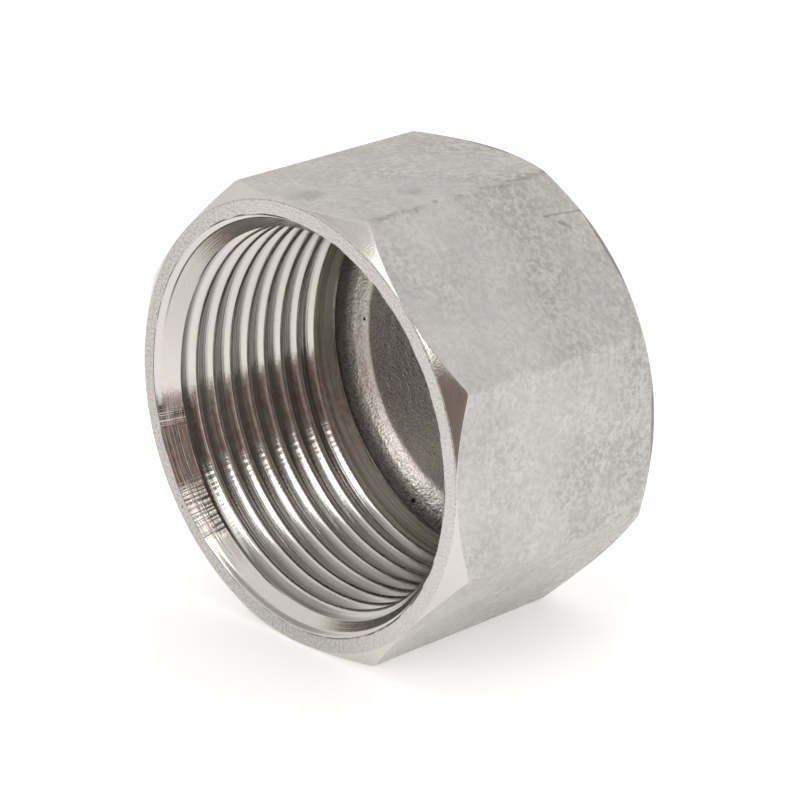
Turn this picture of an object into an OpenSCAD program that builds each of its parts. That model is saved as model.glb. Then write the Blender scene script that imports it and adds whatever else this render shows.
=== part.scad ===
// Cast and turned pipe cap with eight wrench flats and a blind threaded socket, lying on one flat.
// Lengths are in millimetres. The mouth faces -Y, up is +Z, and the origin is under the middle of the cap.

/* [Thread size] */
// Diameter at the bottom of the pipe thread's grooves, 41.910 for size G 1-1/4
thread_major_d = 41.91; // [30:0.01:60]
// Distance from one thread crest to the next, 11 crests to the inch
thread_pitch = 2.309; // [1.3:0.001:2.6]

/* [Wrench body] */
// Metal left between the bottom of the thread and the middle of a flat
root_wall = 2.045; // [1.2:0.005:4]
// Length of the body from the mouth to the closed end
body_length = 27; // [20:0.5:40]
// How far the rounded corners stand back from a sharp octagon
corner_break = 0.09; // [0.02:0.01:0.5]

/* [Turned ends] */
// How far inside the flats the turned face at the mouth ends
mouth_face_inset = 0.1; // [0:0.05:0.8]
// Slope of the turned corner cut at the mouth, measured from the mouth face
mouth_cut_angle = 40; // [20:1:60]
// How far inside the flats the closed end's flat face ends
back_face_inset = 0.1; // [0:0.05:1.5]
// Slope of the corner cut at the closed end, measured from that face
back_cut_angle = 46; // [20:1:60]
// Radius that softens the turned edge round the mouth face
mouth_rim_r = 0.25; // [0.1:0.05:0.4]
// Radius that softens the cast edge round the closed end
back_rim_r = 0.6; // [0.1:0.05:0.8]

/* [Socket] */
// Gap round the thread at the mouth, where the lead-in starts
mouth_clearance = 0.445; // [0.1:0.005:0.8]
// Angle between the lead-in and the socket's axis
lead_in_angle = 30; // [20:1:45]
// Thickness of the floor in the middle of the closed end
floor_t = 2; // [1:0.1:5]
// Depth of the cast pocket between the end of the turned bore and the floor
pocket_depth = 2.1; // [1:0.1:5]
// How far the cast pocket's wall lies outside the turned bore
pocket_undercut = 0.62; // [0:0.01:1.4]
// Radius of the cast fillet between the pocket's wall and the floor
floor_fillet_r = 3.2; // [0.5:0.1:6]

/* [Hidden] */

$fn = 96;
flats = 8;
half_corner = 180 / flats;
arc_steps = 8;
rim_steps = 4;

across_flats = thread_major_d + 2 * root_wall;
flat_r = across_flats / 2;
sharp_corner_r = flat_r / cos(half_corner);
corner_r = sharp_corner_r - corner_break;

// Height of a 55 degree pipe thread's crests over its grooves, as a share of the pitch
crest_share = 0.640327;
bore_r = thread_major_d / 2 - crest_share * thread_pitch;

mouth_r = thread_major_d / 2 + mouth_clearance;
mouth_face_r = flat_r - mouth_face_inset;
back_face_r = flat_r - back_face_inset;
mouth_cut_depth = (corner_r - mouth_face_r) * tan(mouth_cut_angle);
back_cut_depth = (corner_r - back_face_r) * tan(back_cut_angle);
lead_in_depth = (mouth_r - bore_r) / tan(lead_in_angle);

floor_z = body_length - floor_t;
bore_end_z = floor_z - pocket_depth;
pocket_r = bore_r + pocket_undercut;
fillet_start = asin(max(0, 1 - pocket_depth / floor_fillet_r));

// How far the socket's outline reaches out past the mouth, so that it cuts the face clean
overreach = 1;

// Points of a quarter or shorter arc, in the half plane (radius, depth from the mouth)
function arc(centre_r, centre_z, r, from, to, steps) = [
    for (i = [0:steps])
        let (t = from + (to - from) * i / steps)
            [centre_r + r * cos(t), centre_z + r * sin(t)]
];

// Outline of the turned envelope: mouth face, corner cut, corner land, corner cut, closed end
function envelope_outline() = concat(
    [[0, 0]],
    arc(
        mouth_face_r - mouth_rim_r * tan(mouth_cut_angle / 2),
        mouth_rim_r,
        mouth_rim_r,
        -90,
        -90 + mouth_cut_angle,
        rim_steps
    ),
    [
        [corner_r, mouth_cut_depth],
        [corner_r, body_length - back_cut_depth]
    ],
    arc(
        back_face_r - back_rim_r * tan(back_cut_angle / 2),
        body_length - back_rim_r,
        back_rim_r,
        90 - back_cut_angle,
        90,
        rim_steps
    ),
    [[0, body_length]]
);

// Outline of the socket: lead-in, bore on the thread's crests, cast pocket with its rounded floor
function socket_outline() = concat(
    [
        [0, -overreach],
        [mouth_r + overreach * tan(lead_in_angle), -overreach],
        [bore_r, lead_in_depth],
        [bore_r, bore_end_z]
    ],
    arc(
        pocket_r - floor_fillet_r,
        floor_z - floor_fillet_r,
        floor_fillet_r,
        fillet_start,
        90,
        arc_steps
    ),
    [[0, floor_z]]
);

// Eight-sided bar that the wrench grips, with one flat turned straight down
module wrench_bar() {
    rotate([0, 0, half_corner])
        cylinder(r = sharp_corner_r, h = body_length, $fn = flats);
}

// Round shape that the lathe leaves at both ends and on the corners
module turned_envelope() {
    rotate_extrude()
        polygon(envelope_outline());
}

// Everything that is hollow, as one turned shape
module socket() {
    rotate_extrude()
        polygon(socket_outline());
}

// The whole cap, one piece of cast stainless steel
module cap() {
    color([0.77, 0.75, 0.72])
        translate([0, -body_length / 2, flat_r])
            rotate([-90, 0, 0])
                difference() {
                    intersection() {
                        wrench_bar();
                        turned_envelope();
                    }
                    socket();
                }
}

cap();
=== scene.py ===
import math

import bmesh
import bpy
from mathutils import Matrix, Vector


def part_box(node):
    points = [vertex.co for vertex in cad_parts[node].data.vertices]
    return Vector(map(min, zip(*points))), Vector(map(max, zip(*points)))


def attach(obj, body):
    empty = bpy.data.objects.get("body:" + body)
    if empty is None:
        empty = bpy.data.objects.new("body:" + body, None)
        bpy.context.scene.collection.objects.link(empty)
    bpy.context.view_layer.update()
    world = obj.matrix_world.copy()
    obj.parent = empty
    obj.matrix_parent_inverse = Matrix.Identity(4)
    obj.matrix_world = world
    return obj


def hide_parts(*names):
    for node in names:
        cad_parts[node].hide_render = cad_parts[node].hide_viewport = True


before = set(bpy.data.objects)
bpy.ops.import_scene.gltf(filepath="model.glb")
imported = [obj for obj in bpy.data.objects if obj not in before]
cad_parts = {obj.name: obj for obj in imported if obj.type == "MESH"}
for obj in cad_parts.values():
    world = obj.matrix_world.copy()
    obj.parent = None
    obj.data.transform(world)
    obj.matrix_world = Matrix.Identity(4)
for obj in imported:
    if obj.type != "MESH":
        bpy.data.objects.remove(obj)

bl_info = {
    "name": "Threaded pipe cap",
    "version": (1, 0, 0),
    "blender": (4, 5, 0),
    "location": "3D View > Sidebar > Pipe Cap",
    "description": "Models a cast pipe cap with an inner pipe thread, and its stage",
    "category": "Mesh",
}

MM = 0.001
FLATS = 8
AXIS = Vector((0, 1, 0))
LOW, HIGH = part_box("cap")
MIDDLE_HEIGHT = (LOW.z + HIGH.z) / 2
MOUTH = Vector(((LOW.x + HIGH.x) / 2, LOW.y, MIDDLE_HEIGHT))

# Steps round the axis of the socket, and of the outside with its corners
BORE_STEPS = 288
OUTSIDE_STEPS = 384
# Rows of the outside that the lathe has cut, counted from the mouth
TURNED_ROWS = 15
# Part of a turn from the top of the cap to where the thread's first groove starts
THREAD_START = 2 / 3
# Steps of the thread's form, and the share of the pitch that its flat crest takes
TOOTH_STEPS = 20
CREST_LAND = 0.12
# Share of the sides that is straight; the rest swings over from crest to groove
STRAIGHT_SHARE = 0.3
# Turns of full depth, turns over which the tool backs out, and the scratch that it leaves behind
FULL_TURNS = 7.5
BACK_OUT_TURNS = 0.5
SCRATCH_DEPTH = 0.12
SCRATCH_END = 8.9
# Height of the burr that the bore's far lip carries inwards
LIP_BURR = 0.14 * MM
LIP_BURR_LENGTH = 0.2 * MM
# Rows of points along the outside: rounded rims, corner cuts, softened edges and the land between
RIM_ROWS = 6
MOUTH_CUT_ROWS = 5
BACK_CUT_ROWS = 4
EASE_ROWS = 4
LAND_ROWS = 7
FILLET_ROWS = 14
# Rings of the two round floors, as shares of their radius
CLOSED_END_RINGS = (0.85, 0.6, 0.3, 0)
FLOOR_RINGS = (0.8, 0.6, 0.4, 0.2, 0)
# Share of evenness in the spacing of the points round the outside; the rest crowds them to the corners
ROW_EVENNESS = 0.3
# Points nearer than this are one point
WELD = 0.001 * MM
# Stands in for nought in a division
HARDLY_ANY = 0.000001 * MM
# Edges that turn by more than this are left sharp
SHARP_ANGLE = math.radians(30)
THREAD_PITCH = 2.309 * MM
# Height of the standard form's crests over its grooves, as a share of the pitch
THREAD_DEPTH = 0.640327


# Sizes and colours that a user would change

class CapSizes(bpy.types.PropertyGroup):
    across_flats: bpy.props.FloatProperty(
        name="Across flats",
        description="Wrench size of the eight-sided body",
        default=HIGH.z - LOW.z,
        unit="LENGTH",
        precision=5,
    )
    length: bpy.props.FloatProperty(
        name="Length",
        description="From the mouth to the closed end",
        default=HIGH.y - LOW.y,
        unit="LENGTH",
        precision=5,
    )
    thread_major: bpy.props.FloatProperty(
        name="Thread diameter",
        description="Outer diameter of the pipe thread's standard form, which sets where the crests are",
        default=41.91 * MM,
        unit="LENGTH",
        precision=5,
    )
    pitch: bpy.props.FloatProperty(
        name="Thread pitch",
        description="Distance from one crest to the next",
        default=THREAD_PITCH,
        unit="LENGTH",
        precision=6,
    )
    first_crest: bpy.props.FloatProperty(
        name="First crest",
        description="Depth of the first crest at the top of the cap",
        default=2.36 * MM,
        unit="LENGTH",
        precision=6,
    )
    groove_depth: bpy.props.FloatProperty(
        name="Groove depth",
        description="Depth of the grooves under the crests, a little less than the standard form's",
        default=1.1 * MM,
        unit="LENGTH",
        precision=6,
    )
    mouth_r: bpy.props.FloatProperty(
        name="Mouth radius",
        description="Radius where the lead-in meets the mouth face",
        default=21.4 * MM,
        unit="LENGTH",
        precision=5,
    )
    lead_in_angle: bpy.props.FloatProperty(
        name="Lead-in angle",
        description="Angle between the lead-in and the axis",
        default=math.radians(34),
        unit="ROTATION",
    )
    face_inset: bpy.props.FloatProperty(
        name="Face inset",
        description="How far inside the flats the two turned end faces stop",
        default=0.1 * MM,
        unit="LENGTH",
        precision=6,
    )
    corner_break: bpy.props.FloatProperty(
        name="Corner break",
        description="How far the corners stand back from a sharp octagon",
        default=0.09 * MM,
        unit="LENGTH",
        precision=6,
    )
    mouth_cut_angle: bpy.props.FloatProperty(
        name="Mouth corner cut",
        description="Slope of the corner cut at the mouth, from the mouth face",
        default=math.radians(40),
        unit="ROTATION",
    )
    back_cut_angle: bpy.props.FloatProperty(
        name="Back corner cut",
        description="Slope of the corner cut at the closed end, from that face",
        default=math.radians(46),
        unit="ROTATION",
    )
    mouth_rim: bpy.props.FloatProperty(
        name="Mouth rim",
        description="Rounding of the turned edge round the mouth face",
        default=0.25 * MM,
        unit="LENGTH",
        precision=6,
    )
    back_rim: bpy.props.FloatProperty(
        name="Back rim",
        description="Rounding of the cast edge round the closed end",
        default=0.6 * MM,
        unit="LENGTH",
        precision=6,
    )
    cast_edge: bpy.props.FloatProperty(
        name="Cast edge",
        description="How wide the softened edges of the flats are",
        default=0.16 * MM,
        unit="LENGTH",
        precision=6,
    )
    bore_end: bpy.props.FloatProperty(
        name="End of the bore",
        description="Depth at which the turned bore ends in a sharp lip",
        default=22.9 * MM,
        unit="LENGTH",
        precision=5,
    )
    floor_depth: bpy.props.FloatProperty(
        name="Floor depth",
        description="Depth of the cast floor",
        default=25.0 * MM,
        unit="LENGTH",
        precision=5,
    )
    undercut: bpy.props.FloatProperty(
        name="Undercut",
        description="How far the cast pocket lies outside the bore",
        default=0.62 * MM,
        unit="LENGTH",
        precision=6,
    )
    floor_fillet: bpy.props.FloatProperty(
        name="Floor fillet",
        description="Radius of the cast fillet round the floor",
        default=3.2 * MM,
        unit="LENGTH",
        precision=5,
    )


class CapFinish(bpy.types.PropertyGroup):
    cast_colour: bpy.props.FloatVectorProperty(
        name="Cast steel",
        description="Colour of the blasted outside",
        default=(0.66, 0.64, 0.61),
        subtype="COLOR",
    )
    turned_colour: bpy.props.FloatVectorProperty(
        name="Turned steel",
        description="Colour of the turned faces and the thread",
        default=(0.66, 0.635, 0.60),
        subtype="COLOR",
    )
    floor_colour: bpy.props.FloatVectorProperty(
        name="Raw casting",
        description="Colour of the rough floor of the socket",
        default=(0.54, 0.508, 0.475),
        subtype="COLOR",
    )
    # Brown painted onto one side of the thread, a painted reflection of the dim brown room
    reflected_brown: bpy.props.FloatVectorProperty(
        name="Reflection",
        description="Colour of the reflecting side of the thread",
        default=(0.45, 0.30, 0.24),
        subtype="COLOR",
    )


# Shape of the cap: socket and outside are outlines swept round the axis, given as radius and depth

# Zones of the mesh, in the order of the four finishes
CAST, TURNED, THREAD, RAW = range(4)


def arc(centre, r, begin, end, steps):
    """Points of an arc in the half plane of radius and depth, between two angles in degrees."""
    points = []
    for step in range(steps + 1):
        angle = math.radians(begin + (end - begin) * step / steps)
        points.append((centre[0] + r * math.cos(angle), centre[1] + r * math.sin(angle)))
    return points


def between(start, end, count):
    """Points between two points of an outline, without those two."""
    first = Vector(start)
    return [tuple(first.lerp(Vector(end), step / (count + 1))) for step in range(1, count + 1)]


def swept(outline, steps, zone, rise=0):
    """Sweeps an outline once round the axis, an eighth at a time, while it rises evenly."""
    bm = bmesh.new()
    chain = [bm.verts.new((0, depth, r)) for r, depth in outline]
    edges = [bm.edges.new(pair) for pair in zip(chain, chain[1:])]
    bmesh.ops.spin(
        bm,
        geom=chain + edges,
        cent=(0, 0, 0),
        axis=AXIS,
        dvec=AXIS * (rise / steps),
        angle=math.tau / FLATS,
        steps=steps // FLATS,
        use_duplicate=False,
        use_merge=False,
    )
    eighth = bm.verts[:] + bm.edges[:] + bm.faces[:]
    for copy in range(1, FLATS):
        made = bmesh.ops.duplicate(bm, geom=eighth)["geom"]
        verts = [part for part in made if isinstance(part, bmesh.types.BMVert)]
        turn = Matrix.Rotation(math.tau * copy / FLATS, 3, AXIS)
        bmesh.ops.rotate(bm, cent=(0, 0, 0), matrix=turn, verts=verts)
        bmesh.ops.translate(bm, vec=AXIS * (rise * copy / FLATS), verts=verts)
    bmesh.ops.remove_doubles(bm, verts=bm.verts[:], dist=WELD)
    for face in bm.faces:
        face.material_index = zone
    return bm


def tooth_outline(sizes):
    """One turn of the thread, from the middle of a flat crest to just before the next one."""
    points = []
    for step in range(TOOTH_STEPS):
        share = step / TOOTH_STEPS
        away = (min(share, 1 - share) - CREST_LAND / 2) / (0.5 - CREST_LAND / 2)
        away = max(away, 0)
        swing = (1 - math.cos(math.pi * away)) / 2
        sunk = swing + STRAIGHT_SHARE * (away - swing)
        points.append((crest_radius(sizes) + sizes.groove_depth * sunk, sizes.pitch * share))
    return points


def crest_radius(sizes):
    """Radius of the thread's crests, and of the plain wall behind them."""
    return sizes.thread_major / 2 - THREAD_DEPTH * sizes.pitch


def run_out(turn):
    """Share of its depth that the groove has after so many turns, while the tool backs out."""
    fade = min(max((turn - FULL_TURNS) / BACK_OUT_TURNS, 0), 1)
    deep = 1 - fade * fade * (3 - 2 * fade)
    scratch = SCRATCH_DEPTH * min(max((SCRATCH_END - turn) / BACK_OUT_TURNS, 0), 1)
    return max(deep, scratch)


def bore(sizes):
    """The threaded bore with its lead-in, swept longer than it is and then cut off at both ends."""
    tooth = tooth_outline(sizes)
    first = -math.ceil((sizes.first_crest + sizes.pitch) / sizes.pitch) - 1
    last = math.ceil((sizes.bore_end - sizes.first_crest) / sizes.pitch)
    outline = []
    for turn in range(first, last + 1):
        start = sizes.first_crest + turn * sizes.pitch
        outline += [(r, start + depth) for r, depth in tooth]
    bm = swept(outline, BORE_STEPS, THREAD, sizes.pitch)
    crest_r = crest_radius(sizes)
    first_root = sizes.first_crest - sizes.pitch / 2
    for vert in bm.verts:
        r = math.hypot(vert.co.x, vert.co.z)
        share = (math.atan2(vert.co.x, vert.co.z) / math.tau) % 1
        groove = round((vert.co.y - first_root) / sizes.pitch - share) + share
        wanted = crest_r + (r - crest_r) * run_out(groove - THREAD_START)
        wanted = max(wanted, sizes.mouth_r - vert.co.y * math.tan(sizes.lead_in_angle))
        wanted -= LIP_BURR * max(1 - (sizes.bore_end - vert.co.y) / LIP_BURR_LENGTH, 0)
        vert.co.x *= wanted / r
        vert.co.z *= wanted / r
    trim(bm, 0, True)
    trim(bm, sizes.bore_end, False)
    return bm


def trim(bm, depth, keep_deeper):
    """Cuts everything off at a depth."""
    bmesh.ops.bisect_plane(
        bm,
        geom=bm.verts[:] + bm.edges[:] + bm.faces[:],
        dist=WELD / 2,
        plane_co=AXIS * depth,
        plane_no=AXIS,
        clear_inner=keep_deeper,
        clear_outer=not keep_deeper,
    )


def pocket(sizes):
    """The cast pocket behind the sharp lip, its fillet and the floor."""
    centre = (
        crest_radius(sizes) + sizes.undercut - sizes.floor_fillet,
        sizes.floor_depth - sizes.floor_fillet,
    )
    begin = math.degrees(math.asin((sizes.bore_end - centre[1]) / sizes.floor_fillet))
    outline = arc(centre, sizes.floor_fillet, begin, 90, FILLET_ROWS)
    outline += [(centre[0] * share, sizes.floor_depth) for share in FLOOR_RINGS]
    return swept(outline, BORE_STEPS, RAW)


def soft_least(a, b, width):
    """The lower of two lengths, rounded off where they are nearly the same."""
    share = max(width - abs(a - b), 0) / width
    return min(a, b) - share * share * width / 4


def end_outline(sizes, land_r, slope, rim, cone_steps):
    """One turned end, from its face over the corner cut to a land, with depths counted from the face."""
    face_r = sizes.across_flats / 2 - sizes.face_inset
    centre = (face_r - rim * math.tan(slope / 2), rim)
    turn = min(slope, math.asin(min((land_r - centre[0]) / rim, 1)))
    points = arc(centre, rim, -90, -90 + math.degrees(turn), RIM_ROWS)
    start = Vector(points[-1])
    foot = start.copy()
    if turn == slope:
        foot = Vector((land_r, (land_r - face_r) * math.tan(slope)))
    ease = min(sizes.cast_edge / 2, (foot - start).length / 2)
    last = foot.lerp(start, ease / max((foot - start).length, HARDLY_ANY))
    past = foot + Vector((0, ease))
    points += between(start, last, cone_steps)
    for step in range(EASE_ROWS + 1):
        share = step / EASE_ROWS
        points.append(tuple(last.lerp(foot, share).lerp(foot.lerp(past, share), share)))
    return points


def meridian(sizes, off):
    """The outside from the mouth face to the closed end, at an angle from the middle of a flat."""
    flat_r = sizes.across_flats / 2
    far = math.tau / FLATS - off
    land_r = soft_least(flat_r / math.cos(off), flat_r / math.cos(far), sizes.corner_break * 4)
    front = end_outline(sizes, land_r, sizes.mouth_cut_angle, sizes.mouth_rim, MOUTH_CUT_ROWS)
    back = end_outline(sizes, land_r, sizes.back_cut_angle, sizes.back_rim, BACK_CUT_ROWS)
    back = [(r, sizes.length - depth) for r, depth in reversed(back)]
    closed_end = [(back[-1][0] * share, sizes.length) for share in CLOSED_END_RINGS]
    return front + between(front[-1], back[0], LAND_ROWS) + back + closed_end


def outside(sizes):
    """Sweeps a plain tube, and moves each of its rows to its place on the eight-sided outside."""
    half = OUTSIDE_STEPS // FLATS // 2
    sector = math.tau / FLATS
    offs = []
    for step in range(half + 1):
        share = step / half
        crowded = ROW_EVENNESS + (1 - ROW_EVENNESS) * (2 - share)
        offs.append(sector / 2 * crowded * share)
    lines = [meridian(sizes, off) for off in offs]
    bm = swept([(MM, row * MM) for row in range(len(lines[0]))], OUTSIDE_STEPS, CAST)
    for face in bm.faces:
        if face.calc_center_median().y < TURNED_ROWS * MM:
            face.material_index = TURNED
    for vert in bm.verts:
        turn = math.atan2(vert.co.x, vert.co.z) / sector
        flat = round(turn)
        step = round(abs(turn - flat) * half * 2)
        angle = flat * sector + math.copysign(offs[step], turn - flat)
        r, depth = lines[step][round(vert.co.y / MM)]
        vert.co = (r * math.sin(angle), depth, r * math.cos(angle))
    bmesh.ops.remove_doubles(bm, verts=bm.verts[:], dist=WELD / 5)
    return bm


def joined(parts):
    """Puts several meshes into one."""
    whole = bmesh.new()
    for part in parts:
        mesh = bpy.data.meshes.new("part")
        part.to_mesh(mesh)
        part.free()
        whole.from_mesh(mesh)
        bpy.data.meshes.remove(mesh)
    return whole


def close_ring(bm, depth, zone):
    """Closes the flat ring between the two open edges at a depth."""
    open_edges = [edge for edge in bm.edges if edge.is_boundary]
    pair = [edge for edge in open_edges if abs(edge.verts[0].co.y - depth) < WELD]
    for part in bmesh.ops.triangle_fill(bm, edges=pair, use_beauty=True, normal=AXIS)["geom"]:
        if isinstance(part, bmesh.types.BMFace):
            part.material_index = zone


def cap_mesh(sizes):
    """The whole cap as one closed mesh, lying on a flat with its mouth towards -Y."""
    bm = joined([outside(sizes), bore(sizes), pocket(sizes)])
    close_ring(bm, 0, TURNED)
    close_ring(bm, sizes.bore_end, RAW)
    bmesh.ops.recalc_face_normals(bm, faces=bm.faces[:])
    bmesh.ops.translate(bm, vec=MOUTH, verts=bm.verts[:])
    for face in bm.faces:
        face.smooth = True
    mesh = bpy.data.meshes.new("pipe_cap")
    bm.to_mesh(mesh)
    bm.free()
    mesh.set_sharp_from_angle(angle=SHARP_ANGLE)
    return mesh


# Finishes, drawn in millimetres about the cap's axis

# Places from the middle of the mouth, across, deep and up, each with a radius
PITS = (
    (-5.9, 10.4, 23.0, 0.2),
    (23.0, 23.7, 8.5, 0.3),
    (23.0, 25.5, 4.6, 0.2),
    (23.0, 12.0, -11.0, 0.16),
)
SMUDGES = ((5.2, 11.6, 23.0, 2.6), (6.4, 14.2, 23.0, 2.2), (-1.0, 3.0, 23.0, 2.6))
# Short strokes from one place to another, each with its width
GOUGES = (
    ((12.7, 21.6, 19.8), (13.1, 26.8, 19.4), 0.13),
    ((13.5, 23.3, 19.0), (14.0, 24.0, 18.5), 0.34),
)
RING_PITS = ((-12.3, 0.0, 14.9, 0.25), (-17.5, 0.0, -13.6, 0.18))
PINHOLES = ((-17.0, 25.0, 0.7, 0.3), (-8.6, 24.05, -17.2, 0.42))
# Share of a spot or a stroke that is dark all over, before it fades
SPOT_CORE = 0.3
# Radius at which lengths round the bore are measured
BORE_R = 20
# Turn of the shine, as a share of a whole one, that lays it across the marks
ACROSS = 0.25
# Shares of red, green and blue in the casting's cooler patches, and the colour of the painted glints on
# the floor's fillet
COOL_TONE = (0.88, 0.89, 0.91)
GLINT_COLOUR = (0.95, 0.93, 0.9)
# Depths and radii, from one to another
# Depths of the painted line of shade round the closed end's rim
RIM_SHADE_DEPTHS = (26.45, 26.92)
GRAINY_DEPTHS = (4.0, 24.0)
FACE_DEPTHS = (0.02, 0.1)
MOUTH_EDGE = (21.34, 21.5)
LEAD_IN_TILT = (0.0, 0.7)
# Depths of the painted shade line of a small step in the lead-in
LEAD_IN_STEP_SHADE = (0.62, 0.76)
LEAD_IN_END = (2.25, 2.7)
CHATTER_END = (2.4, 2.9)
CHATTER_DARK = (0.7, 1.5)
# Radii over which the grooves darken: grime, and painted shade deep in the roots
GROOVE_DIRT_AND_SHADE = (19.95, 20.55)
PLAIN_WALL = (19.8, 20.4)
# Radii of the bright ring on the floor's fillet, whose colour carries a painted highlight
RIDGE = (16.1, 18.6)
RIDGE_RISE = (15.8, 18.9)
# Radii of the painted shadow in the pocket behind the lip
LIP_SHADOW_RADII = (18.4, 19.3)
# Parts of a turn from the top of the cap towards +X, from one to another
CORNER = 1 / 16
SCAR_TURNS = (CORNER - 0.0036, CORNER + 0.0006)
# Turns where the turned faces get painted shade and a duller grain, to the left and at the bottom
SHADE_LEFT_TURNS = (-0.16, 0.0)
SHADE_BOTTOM_TURNS = (0.38, 0.5)
STEP_SHADE_TURNS = (-0.19, 0.12)
# Turns where the dim room's brown reflection is painted onto the thread
BROWN_REFLECTION_TURNS = (-0.36, -0.27)
CHATTER_TURNS = (-0.389, -0.28)
CROSSED_BELOW = (-0.35, -0.33)
CROSSED_ABOVE = (-0.298, -0.288)
BEAD_TURNS = (-0.40, -0.33)


class Shader:
    """Short calls for the nodes of one metal finish."""

    def __init__(self, name):
        self.material = bpy.data.materials.new(name)
        self.material.use_nodes = True
        self.tree = self.material.node_tree
        self.tree.nodes.clear()
        self.surface = self.tree.nodes.new("ShaderNodeBsdfPrincipled")
        self.surface.inputs["Metallic"].default_value = 1
        output = self.tree.nodes.new("ShaderNodeOutputMaterial")
        self.tree.links.new(self.surface.outputs["BSDF"], output.inputs["Surface"])
        place = self.tree.nodes.new("ShaderNodeTexCoord").outputs["Object"]
        moved = self.vector("SUBTRACT", place, MOUTH)
        self.point = self.vector("SCALE", moved, 1 / MM)
        parts = self.tree.nodes.new("ShaderNodeSeparateXYZ")
        self.plug(parts.inputs[0], self.point)
        self.depth = parts.outputs["Y"]
        across = self.vector("MULTIPLY", self.point, (1, 0, 1))
        self.radius = self.vector("LENGTH", across)
        self.inward = self.vector("SCALE", self.vector("NORMALIZE", across), -1)
        around = self.math("ARCTAN2", parts.outputs["X"], parts.outputs["Z"])
        self.turn = self.math("DIVIDE", around, math.tau)

    def plug(self, socket, value):
        if isinstance(value, bpy.types.NodeSocket):
            self.tree.links.new(value, socket)
        else:
            socket.default_value = value

    def set(self, **values):
        for name, value in values.items():
            self.plug(self.surface.inputs[name.replace("_", " ").title()], value)

    def vector(self, operation, first, second=None):
        node = self.tree.nodes.new("ShaderNodeVectorMath")
        node.operation = operation
        self.plug(node.inputs[0], first)
        if operation == "SCALE":
            self.plug(node.inputs["Scale"], second)
        elif second is not None:
            self.plug(node.inputs[1], second)
        number = operation in ("LENGTH", "DISTANCE", "DOT_PRODUCT")
        return node.outputs["Value" if number else "Vector"]

    def math(self, operation, first, second=0.0):
        node = self.tree.nodes.new("ShaderNodeMath")
        node.operation = operation
        self.plug(node.inputs[0], first)
        self.plug(node.inputs[1], second)
        return node.outputs[0]

    def times(self, first, second):
        return self.math("MULTIPLY", first, second)

    def noise(self, vector, scale, detail=2.0, roughness=0.5):
        node = self.tree.nodes.new("ShaderNodeTexNoise")
        self.plug(node.inputs["Roughness"], roughness)
        self.plug(node.inputs["Vector"], vector)
        self.plug(node.inputs["Scale"], scale)
        self.plug(node.inputs["Detail"], detail)
        return node.outputs[0]

    def lines(self, value, scale, detail=2.0):
        """Noise along one coordinate only, as a lathe leaves it."""
        node = self.tree.nodes.new("ShaderNodeTexNoise")
        node.noise_dimensions = "1D"
        self.plug(node.inputs["W"], value)
        self.plug(node.inputs["Scale"], scale)
        self.plug(node.inputs["Detail"], detail)
        return node.outputs[0]

    def span(self, value, low, high, first=0.0, last=1.0):
        """Runs smoothly from first to last while the value runs from low to high."""
        node = self.tree.nodes.new("ShaderNodeMapRange")
        node.interpolation_type = "SMOOTHSTEP"
        self.plug(node.inputs["Value"], value)
        numbers = {"From Min": low, "From Max": high, "To Min": first, "To Max": last}
        for name, number in numbers.items():
            self.plug(node.inputs[name], number)
        return node.outputs["Result"]

    def band(self, value, low, high, soft):
        """One between low and high, and nought outside, with soft ends."""
        rise = self.span(value, low - soft, low + soft)
        return self.times(rise, self.span(value, high - soft, high + soft, 1.0, 0.0))

    def mix(self, share, first, second):
        node = self.tree.nodes.new("ShaderNodeMix")
        node.data_type = "RGBA"
        self.plug(node.inputs[0], share)
        for socket, colour in ((node.inputs[6], first), (node.inputs[7], second)):
            self.plug(socket, colour if isinstance(colour, bpy.types.NodeSocket) else (*colour, 1))
        return node.outputs[2]

    def bump(self, height, size, below=None):
        """Turns a height from nought to one into relief, size in millimetres."""
        node = self.tree.nodes.new("ShaderNodeBump")
        self.plug(node.inputs["Height"], height)
        node.inputs["Distance"].default_value = size * MM
        if below is not None:
            self.plug(node.inputs["Normal"], below)
        return node.outputs[0]

    def round_marks(self, amount):
        """Stretches the shine across marks that run round the axis."""
        along = self.vector("CROSS_PRODUCT", self.inward, AXIS)
        self.set(tangent=along, anisotropic=amount, anisotropic_rotation=ACROSS)

    def torn(self, scale, amount):
        """Places shifted about by noise, so that marks drawn with them get ragged edges."""
        node = self.tree.nodes.new("ShaderNodeTexNoise")
        self.plug(node.inputs["Vector"], self.point)
        self.plug(node.inputs["Scale"], scale)
        self.plug(node.inputs["Detail"], 4.0)
        shift = self.vector("SUBTRACT", node.outputs["Color"], (0.5, 0.5, 0.5))
        return self.vector("ADD", self.point, self.vector("SCALE", shift, amount))

    def place_spots(self, spots, point=None):
        """Soft round spots at places on the surface, each with its size."""
        total = 0.0
        for x, depth, z, size in spots:
            away = self.vector("DISTANCE", point or self.point, (x, depth, z))
            spot = self.span(away, size * SPOT_CORE, size, 1.0, 0.0)
            total = self.math("MAXIMUM", total, spot)
        return total

    def strokes(self, marks, point):
        """Soft straight strokes between two places on the surface, each with its width."""
        total = 0.0
        for begin, end, width in marks:
            way = Vector(end) - Vector(begin)
            from_start = self.vector("SUBTRACT", point, begin)
            share = self.vector("DOT_PRODUCT", from_start, way / way.length_squared)
            share = self.math("MINIMUM", self.math("MAXIMUM", share, 0.0), 1.0)
            away = self.vector("DISTANCE", from_start, self.vector("SCALE", tuple(way), share))
            stroke = self.span(away, width * SPOT_CORE, width, 1.0, 0.0)
            total = self.math("MAXIMUM", total, stroke)
        return total


def toned(colour, share):
    """A colour made darker by a share below one, or lighter by one above it."""
    return tuple(part * share for part in colour)


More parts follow.
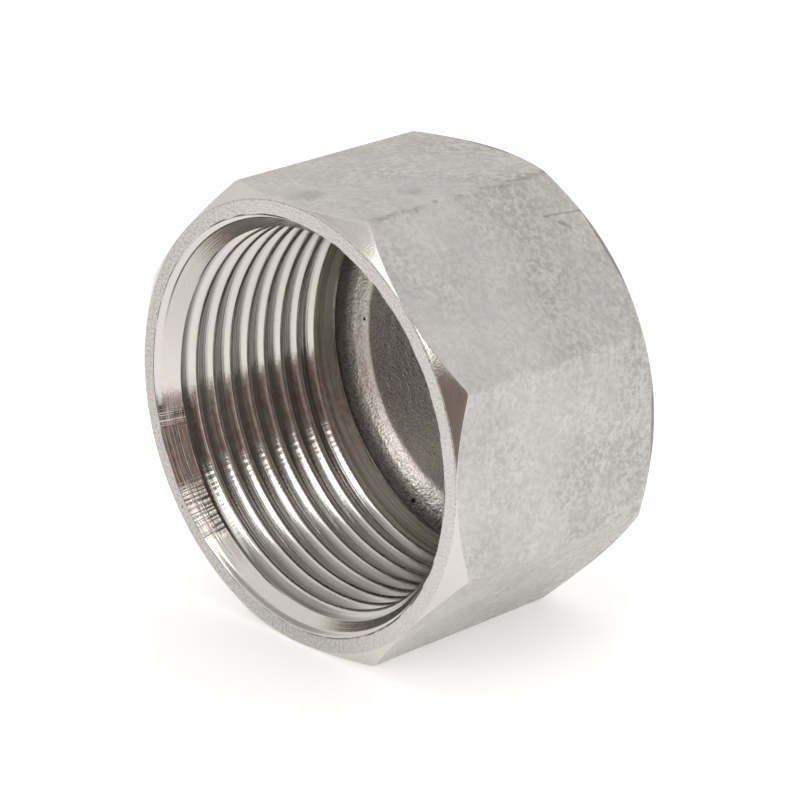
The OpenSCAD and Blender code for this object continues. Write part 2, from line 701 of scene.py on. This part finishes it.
def cast_finish(finish):
    """Blasted casting: a sandy grain that comes and goes, faint clouds, pits, an old scar, and a painted
    line of shade round the closed end's rim.
    """
    steel = finish.cast_colour
    shader = Shader("cast_outside")
    clouds = shader.noise(shader.point, 0.25, 5.0, 0.6)
    grain = shader.noise(shader.point, 1.8, 5.0, 0.7)
    ragged = shader.torn(0.9, 1.6)
    rough = shader.span(shader.noise(shader.point, 0.13, 2.0), 0.35, 0.65, 0.35, 0.75)
    rough = shader.math("ADD", rough, shader.span(shader.depth, *GRAINY_DEPTHS, 0.0, 0.35))
    specks = shader.span(shader.noise(shader.point, 2.3, 1.0), 0.80, 0.84)
    gouges = shader.strokes(GOUGES, shader.torn(1.5, 0.4))
    pits = shader.math("MAXIMUM", shader.place_spots(PITS), gouges)
    smudges = shader.times(shader.place_spots(SMUDGES, ragged), shader.span(clouds, 0.4, 0.6))
    wander = shader.span(shader.noise(shader.point, 0.6, 3.0), 0.3, 0.7, -0.0022, 0.0022)
    scar = shader.band(shader.math("ADD", shader.turn, wander), *SCAR_TURNS, 0.0018)
    scar = shader.times(scar, shader.span(shader.noise(shader.point, 0.8, 4.0, 0.7), 0.42, 0.58))
    # Painted shade: a dark line round the closed end's rim, where the rounding turns away
    rim = shader.band(shader.depth, *RIM_SHADE_DEPTHS, 0.06)
    dull = shader.times(shader.span(grain, 0.36, 0.64, 0.62, 0.0), rough)
    warm = toned(steel, 1.02)
    cool = tuple(part * share for part, share in zip(steel, COOL_TONE))
    colour = shader.mix(shader.span(clouds, 0.35, 0.65), cool, warm)
    colour = shader.mix(dull, colour, toned(steel, 0.5))
    colour = shader.mix(shader.times(specks, 0.6), colour, toned(steel, 0.25))
    colour = shader.mix(shader.times(pits, 0.4), colour, toned(steel, 0.3))
    colour = shader.mix(shader.times(smudges, 0.4), colour, toned(steel, 0.4))
    colour = shader.mix(shader.times(scar, 0.45), colour, toned(steel, 0.35))
    colour = shader.mix(shader.times(rim, 0.55), colour, toned(steel, 0.25))
    relief = shader.bump(shader.times(grain, rough), 0.2)
    relief = shader.bump(clouds, 0.4, relief)
    relief = shader.bump(pits, -0.12, relief)
    roughness = shader.span(clouds, 0.3, 0.7, 0.4, 0.5)
    shader.set(base_color=colour, roughness=roughness, normal=relief)
    return shader.material


def turned_finish(finish):
    """Turned end faces and corner cuts: fine rings, a dark broken line at the mouth, and painted shade
    towards the left and the bottom, where the grain is also duller.
    """
    steel = finish.turned_colour
    shader = Shader("turned_face")
    rings = shader.lines(shader.radius, 9.0, 3.0)
    grain = shader.noise(shader.point, 3.4, 4.0, 0.65)
    clouds = shader.noise(shader.point, 0.3, 3.0)
    edge = shader.band(shader.radius, *MOUTH_EDGE, 0.03)
    broken = shader.span(shader.noise(shader.point, 0.35, 2.0), 0.42, 0.58)
    flat_face = shader.span(shader.depth, *FACE_DEPTHS, 1.0, 0.15)
    # Painted shade towards the left and the bottom, where the grain is also coarser and duller
    shade_left = shader.span(shader.turn, *SHADE_LEFT_TURNS, 1.0, 0.0)
    shade_and_dull = shader.math("MAXIMUM", shade_left, shader.span(shader.turn, *SHADE_BOTTOM_TURNS))
    coarse = shader.times(flat_face, shader.span(shade_and_dull, 0.0, 1.0, 0.6, 1.25))
    dull = shader.times(shader.span(grain, 0.34, 0.6, 0.75, 0.1), coarse)
    colour = shader.mix(clouds, toned(steel, 0.96), toned(steel, 1.08))
    colour = shader.mix(shader.times(shade_and_dull, 0.3), colour, toned(steel, 0.65))
    colour = shader.mix(dull, colour, toned(steel, 0.55))
    colour = shader.mix(shader.times(edge, broken), colour, toned(steel, 0.15))
    colour = shader.mix(shader.place_spots(RING_PITS), colour, toned(steel, 0.15))
    relief = shader.bump(shader.times(grain, flat_face), 0.08)
    relief = shader.bump(rings, 0.012, relief)
    roughness = shader.span(grain, 0.3, 0.7, 0.17, 0.22)
    shader.set(base_color=colour, roughness=roughness, normal=relief)
    shader.round_marks(0.5)
    return shader.material


def chatter_marks(shader, along):
    """Torn marks on one side of the lead-in: their place, where they cross, and their rings and net."""
    place = shader.band(shader.turn, *CHATTER_TURNS, 0.005)
    place = shader.times(place, shader.span(shader.depth, *CHATTER_END, 1.0, 0.0))
    rings = shader.lines(shader.depth, 6.0, 2.0)
    net = shader.times(shader.lines(along, 3.0, 1.0), rings)
    below = shader.span(shader.turn, *CROSSED_BELOW, 1.0, 0.0)
    crossed = shader.math("MAXIMUM", below, shader.span(shader.turn, *CROSSED_ABOVE))
    return place, crossed, rings, net


def thread_finish(finish):
    """Bright cut metal: marks that run with the thread, grime and painted shade in its grooves, and a
    painted brown reflection of the dim room on one side.
    """
    steel = finish.turned_colour
    shader = Shader("cut_thread")
    helix = shader.math("SUBTRACT", shader.depth, shader.times(shader.turn, THREAD_PITCH / MM))
    along = shader.times(shader.turn, math.tau * BORE_R)
    marks = shader.lines(helix, 8.0, 3.0)
    ripple = shader.lines(along, 2.6, 1.0)
    grain = shader.noise(shader.point, 3.0, 3.0)
    behind = shader.span(shader.depth, *LEAD_IN_END)
    dirt_and_shade = shader.times(shader.span(shader.radius, *GROOVE_DIRT_AND_SHADE), behind)
    # Painted shade: a dark line where a small step in the lead-in would cast its shade
    step = shader.band(shader.depth, *LEAD_IN_STEP_SHADE, 0.03)
    step = shader.times(step, shader.band(shader.turn, *STEP_SHADE_TURNS, 0.03))
    # Painted reflection: the dim room's brown, painted onto the side of the thread that faces it
    brown_reflection = shader.band(shader.turn, *BROWN_REFLECTION_TURNS, 0.03)
    brown_reflection = shader.times(brown_reflection, shader.span(shader.noise(shader.point, 1.2, 2.0), 0.45, 0.6))
    place, crossed, rings, net = chatter_marks(shader, along)
    chatter = shader.times(shader.span(crossed, 0.0, 1.0, rings, net), place)
    # The chatter marks take the same painted brown reflection
    brown = shader.times(place, shader.span(crossed, 0.0, 1.0, 1.0, 0.2))
    brown = shader.times(brown, shader.span(rings, 0.35, 0.6, 0.45, 0.8))
    gaps = shader.times(shader.span(net, 0.2, 0.27, 1.0, 0.0), shader.span(shader.depth, *CHATTER_DARK))
    gaps = shader.times(gaps, shader.times(place, crossed))
    colour = shader.mix(grain, toned(steel, 0.93), toned(steel, 1.07))
    colour = shader.mix(shader.times(brown_reflection, 0.4), colour, finish.reflected_brown)
    colour = shader.mix(brown, colour, toned(finish.reflected_brown, 0.8))
    colour = shader.mix(shader.times(gaps, 0.9), colour, toned(steel, 0.08))
    # Grime and painted shade in the groove roots
    colour = shader.mix(shader.times(dirt_and_shade, 0.85), colour, toned(steel, 0.1))
    colour = shader.mix(shader.times(step, 0.9), colour, toned(steel, 0.12))
    beads = shader.times(ripple, shader.band(shader.turn, *BEAD_TURNS, 0.02))
    tool_marks = shader.lines(shader.depth, 1.7, 1.0)
    tool_marks = shader.times(tool_marks, shader.span(shader.depth, *PLAIN_WALL))
    relief = shader.bump(grain, 0.004)
    relief = shader.bump(marks, 0.012, relief)
    relief = shader.bump(beads, 0.018, relief)
    relief = shader.bump(chatter, 0.16, relief)
    relief = shader.bump(tool_marks, 0.07, relief)
    relief = shader.bump(shader.span(shader.depth, *LEAD_IN_TILT), 0.22, relief)
    roughness = shader.span(grain, 0.3, 0.7, 0.15, 0.19)
    shader.set(base_color=colour, roughness=roughness, normal=relief)
    shader.round_marks(0.7)
    return shader.material


def raw_finish(finish):
    """Rough floor as it came from the mould: sandy, with painted shadow behind the lip, a painted
    highlight and glints on the fillet, and a few pinholes.
    """
    casting = finish.floor_colour
    shader = Shader("raw_floor")
    lumps = shader.noise(shader.point, 1.1, 4.0)
    grain = shader.noise(shader.point, 4.0, 3.0)
    lip_shadow = shader.span(shader.radius, *LIP_SHADOW_RADII)
    ridge = shader.band(shader.radius, *RIDGE, 0.45)
    painted_glints = shader.times(shader.span(shader.noise(shader.point, 5.0, 2.0), 0.55, 0.65), ridge)
    hollows = shader.span(grain, 0.36, 0.52, 1.0, 0.0)
    hollows = shader.times(hollows, shader.span(ridge, 0.0, 1.0, 0.55, 0.35))
    calmer = shader.span(ridge, 0.0, 1.0, 1.0, 0.4)
    colour = shader.mix(lumps, toned(casting, 0.9), toned(casting, 1.25))
    # Painted highlight: the fillet's ring is painted much lighter
    colour = shader.mix(shader.times(ridge, 0.9), colour, toned(casting, 1.68))
    colour = shader.mix(hollows, colour, toned(casting, 0.3))
    # Painted glints sprinkled over the fillet's painted highlight
    colour = shader.mix(painted_glints, colour, GLINT_COLOUR)
    # Painted shadow in the pocket behind the lip
    colour = shader.mix(shader.times(lip_shadow, 0.85), colour, toned(casting, 0.22))
    colour = shader.mix(shader.place_spots(PINHOLES), colour, toned(casting, 0.03))
    relief = shader.bump(shader.times(lumps, calmer), 0.25)
    relief = shader.bump(shader.span(shader.radius, *RIDGE_RISE), 1.5, relief)
    relief = shader.bump(shader.times(grain, calmer), 0.2, relief)
    roughness = shader.span(ridge, 0.0, 1.0, 0.42, 0.37)
    shader.set(base_color=colour, roughness=roughness, normal=relief)
    return shader.material


# Stage

FLOOR_RADIUS = 6.0
FLOOR_STEPS = 256
FLOOR_DROP = 0.02 * MM
FLOOR_COLOUR = (0.93, 0.93, 0.93, 1)
# The table's own glow, which keeps it as white as in the photo
FLOOR_LIFT = 0.34
# The table ends this far in front of the cap, towards the camera, and the dim room shows beyond it
TABLE_EDGE = 0.1
TABLE_AZIMUTH = 29.0
CAMERA_PLACE = Vector((0.244747, -0.226261, 0.150813))
CAMERA_AIM = Vector((-0.684098, 0.634564, -0.359637))
CAMERA_ROLL = math.radians(-0.4475)
CAMERA_LENS = 160.52
CAMERA_CLIP = (0.01, 50)
# Where the dim room and the shaded side wall are, in degrees from -Y towards +X and from level upwards
ROOM_AZIMUTH = (-3.0, 67.0)
ROOM_ELEVATION = (-95.0, 60.0)
SIDE_AZIMUTH = (-62.0, -3.0)
SIDE_ELEVATION = (-95.0, 40.0)
# How softly they end, at their sides and at their top
ROOM_SOFTNESS = (3.0, 4.0)
SIDE_SOFTNESS = (6.0, 8.0)
# The dim room's far wall runs from dark to lighter between these two
ROOM_BLEND = (20.0, 34.0)
STUDIO_WHITE = (0.92, 0.91, 0.9, 1)
SIDE_GREY = (0.42, 0.405, 0.39, 1)
ROOM_DARK = (0.06, 0.049, 0.042, 1)
ROOM_BROWN = (0.33, 0.27, 0.24, 1)
# The softbox as seen from the cap, in degrees and metres, and how bright it is
LAMP_AZIMUTH = 11
LAMP_ELEVATION = 34
LAMP_DISTANCE = 0.9
LAMP_WIDTH = 0.45
LAMP_HEIGHT = 0.56
LAMP_LEVEL = 2.1


def level_way(azimuth):
    """Direction along the floor, from the mouth's side, -Y, towards +X."""
    around = math.radians(azimuth)
    return Vector((math.sin(around), -math.cos(around), 0))


def studio_floor():
    """A pale round table top, with its edge just in front of the cap."""
    bm = bmesh.new()
    bmesh.ops.create_circle(bm, cap_ends=True, segments=FLOOR_STEPS, radius=FLOOR_RADIUS)
    centre = level_way(TABLE_AZIMUTH) * (TABLE_EDGE - FLOOR_RADIUS)
    centre.z = -FLOOR_DROP
    bmesh.ops.translate(bm, vec=centre, verts=bm.verts[:])
    mesh = bpy.data.meshes.new("studio_floor")
    bm.to_mesh(mesh)
    bm.free()
    floor = bpy.data.objects.new("studio_floor", mesh)
    bpy.context.scene.collection.objects.link(floor)
    material = bpy.data.materials.new("pale_floor")
    material.use_nodes = True
    nodes = material.node_tree.nodes
    links = material.node_tree.links
    nodes.clear()
    paint = nodes.new("ShaderNodeBsdfDiffuse")
    paint.inputs["Color"].default_value = FLOOR_COLOUR
    lift = nodes.new("ShaderNodeEmission")
    lift.inputs["Strength"].default_value = FLOOR_LIFT
    both = nodes.new("ShaderNodeAddShader")
    output = nodes.new("ShaderNodeOutputMaterial")
    links.new(paint.outputs[0], both.inputs[0])
    links.new(lift.outputs[0], both.inputs[1])
    links.new(both.outputs[0], output.inputs["Surface"])
    mesh.materials.append(material)
    return floor


def softbox():
    """A wide soft lamp that faces the cap, in front of it and above."""
    up = math.radians(LAMP_ELEVATION)
    way = level_way(LAMP_AZIMUTH) * math.cos(up) + Vector((0, 0, math.sin(up)))
    lamp = bpy.data.lights.new("front_softbox", "AREA")
    lamp.shape = "RECTANGLE"
    lamp.size = LAMP_WIDTH
    lamp.size_y = LAMP_HEIGHT
    lamp.energy = LAMP_LEVEL * 4 * LAMP_WIDTH * LAMP_HEIGHT
    holder = bpy.data.objects.new("front_softbox", lamp)
    place = Vector((0, 0, MIDDLE_HEIGHT)) + way * LAMP_DISTANCE
    holder.matrix_world = Matrix.Translation(place) @ way.to_track_quat("Z", "Y").to_matrix().to_4x4()
    bpy.context.scene.collection.objects.link(holder)


def surroundings():
    """White studio with a dim room behind the camera, which the socket's bright metal shows."""
    world = bpy.data.worlds.new("studio")
    bpy.context.scene.world = world
    world.use_nodes = True
    tree = world.node_tree
    tree.nodes.clear()

    def node(kind, operation, *values):
        made = tree.nodes.new(kind)
        if operation:
            made.operation = operation
        for socket, value in zip(made.inputs, values):
            if isinstance(value, bpy.types.NodeSocket):
                tree.links.new(value, socket)
            else:
                socket.default_value = value
        return made.outputs[0]

    def window(angle, low, high, soft):
        """One while an angle in degrees is between low and high, and nought outside."""
        rise = node("ShaderNodeMapRange", None, angle, low - soft, low + soft, 0.0, 1.0)
        fall = node("ShaderNodeMapRange", None, angle, high - soft, high + soft, 1.0, 0.0)
        return node("ShaderNodeMath", "MULTIPLY", rise, fall)

    way = tree.nodes.new("ShaderNodeTexCoord").outputs["Generated"]
    parts = tree.nodes.new("ShaderNodeSeparateXYZ")
    tree.links.new(way, parts.inputs[0])
    front = node("ShaderNodeMath", "MULTIPLY", parts.outputs["Y"], -1.0)
    around = node("ShaderNodeMath", "ARCTAN2", parts.outputs["X"], front)
    azimuth = node("ShaderNodeMath", "MULTIPLY", around, math.degrees(1))
    up = node("ShaderNodeMath", "ARCSINE", parts.outputs["Z"])
    elevation = node("ShaderNodeMath", "MULTIPLY", up, math.degrees(1))

    def wall(azimuths, elevations, softness):
        """One where a wall is seen from the cap, and nought elsewhere."""
        across = window(azimuth, *azimuths, softness[0])
        upward = window(elevation, *elevations, softness[1])
        return node("ShaderNodeMath", "MULTIPLY", across, upward)

    def blend(share, first, second):
        """Mixes two colours of the view."""
        made = tree.nodes.new("ShaderNodeMix")
        made.data_type = "RGBA"
        tree.links.new(share, made.inputs[0])
        for socket, colour in ((made.inputs[6], first), (made.inputs[7], second)):
            if isinstance(colour, bpy.types.NodeSocket):
                tree.links.new(colour, socket)
            else:
                socket.default_value = colour
        return made.outputs[2]

    bright = blend(wall(SIDE_AZIMUTH, SIDE_ELEVATION, SIDE_SOFTNESS), STUDIO_WHITE, SIDE_GREY)
    lighter = node("ShaderNodeMapRange", None, azimuth, *ROOM_BLEND, 0.0, 1.0)
    dim = blend(lighter, ROOM_DARK, ROOM_BROWN)
    whole = blend(wall(ROOM_AZIMUTH, ROOM_ELEVATION, ROOM_SOFTNESS), bright, dim)
    back = tree.nodes.new("ShaderNodeBackground")
    output = tree.nodes.new("ShaderNodeOutputWorld")
    tree.links.new(whole, back.inputs["Color"])
    tree.links.new(back.outputs[0], output.inputs["Surface"])


def photo_camera():
    """The camera at the photograph's viewing angle."""
    lens = bpy.data.cameras.new("camera")
    lens.lens = CAMERA_LENS
    lens.clip_start, lens.clip_end = CAMERA_CLIP
    camera = bpy.data.objects.new("camera", lens)
    turn = CAMERA_AIM.to_track_quat("-Z", "Y").to_matrix().to_4x4()
    camera.matrix_world = Matrix.Translation(CAMERA_PLACE) @ turn @ Matrix.Rotation(CAMERA_ROLL, 4, "Z")
    bpy.context.scene.collection.objects.link(camera)
    bpy.context.scene.camera = camera


# Operators and panel

class PIPECAP_OT_cap(bpy.types.Operator):
    """Models the cap with its thread, and gives it its finishes"""

    bl_idname = "pipecap.cap"
    bl_label = "Model the cap"

    def execute(self, context):
        mesh = cap_mesh(context.scene.pipe_cap_sizes)
        finish = context.scene.pipe_cap_finish
        for make in (cast_finish, turned_finish, thread_finish, raw_finish):
            mesh.materials.append(make(finish))
        cap = bpy.data.objects.new("pipe_cap", mesh)
        context.scene.collection.objects.link(cap)
        even = cap.modifiers.new("even_shading", "WEIGHTED_NORMAL")
        even.keep_sharp = True
        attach(cap, "root")
        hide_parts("cap")
        return {"FINISHED"}


class PIPECAP_OT_stage(bpy.types.Operator):
    """Sets up the pale floor, the soft lamp and the camera"""

    bl_idname = "pipecap.stage"
    bl_label = "Set the stage"

    def execute(self, context):
        context.scene.view_settings.view_transform = "Standard"
        studio_floor()
        surroundings()
        softbox()
        photo_camera()
        return {"FINISHED"}


class PIPECAP_PT_panel(bpy.types.Panel):
    """Lists the sizes, the colours and the two steps"""

    bl_idname = "PIPECAP_PT_panel"
    bl_label = "Pipe Cap"
    bl_space_type = "VIEW_3D"
    bl_region_type = "UI"
    bl_category = "Pipe Cap"

    def draw(self, context):
        for group in (context.scene.pipe_cap_sizes, context.scene.pipe_cap_finish):
            column = self.layout.column()
            for name in group.bl_rna.properties.keys():
                if name not in ("rna_type", "name"):
                    column.prop(group, name)
        self.layout.operator(PIPECAP_OT_cap.bl_idname)
        self.layout.operator(PIPECAP_OT_stage.bl_idname)


CLASSES = (CapSizes, CapFinish, PIPECAP_OT_cap, PIPECAP_OT_stage, PIPECAP_PT_panel)


def register():
    for kind in CLASSES:
        bpy.utils.register_class(kind)
    bpy.types.Scene.pipe_cap_sizes = bpy.props.PointerProperty(type=CapSizes)
    bpy.types.Scene.pipe_cap_finish = bpy.props.PointerProperty(type=CapFinish)


def unregister():
    del bpy.types.Scene.pipe_cap_finish
    del bpy.types.Scene.pipe_cap_sizes
    for kind in reversed(CLASSES):
        bpy.utils.unregister_class(kind)


def main():
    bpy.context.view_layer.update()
    register()
    bpy.ops.pipecap.cap()
    bpy.ops.pipecap.stage()


if __name__ == "__main__":
    main()
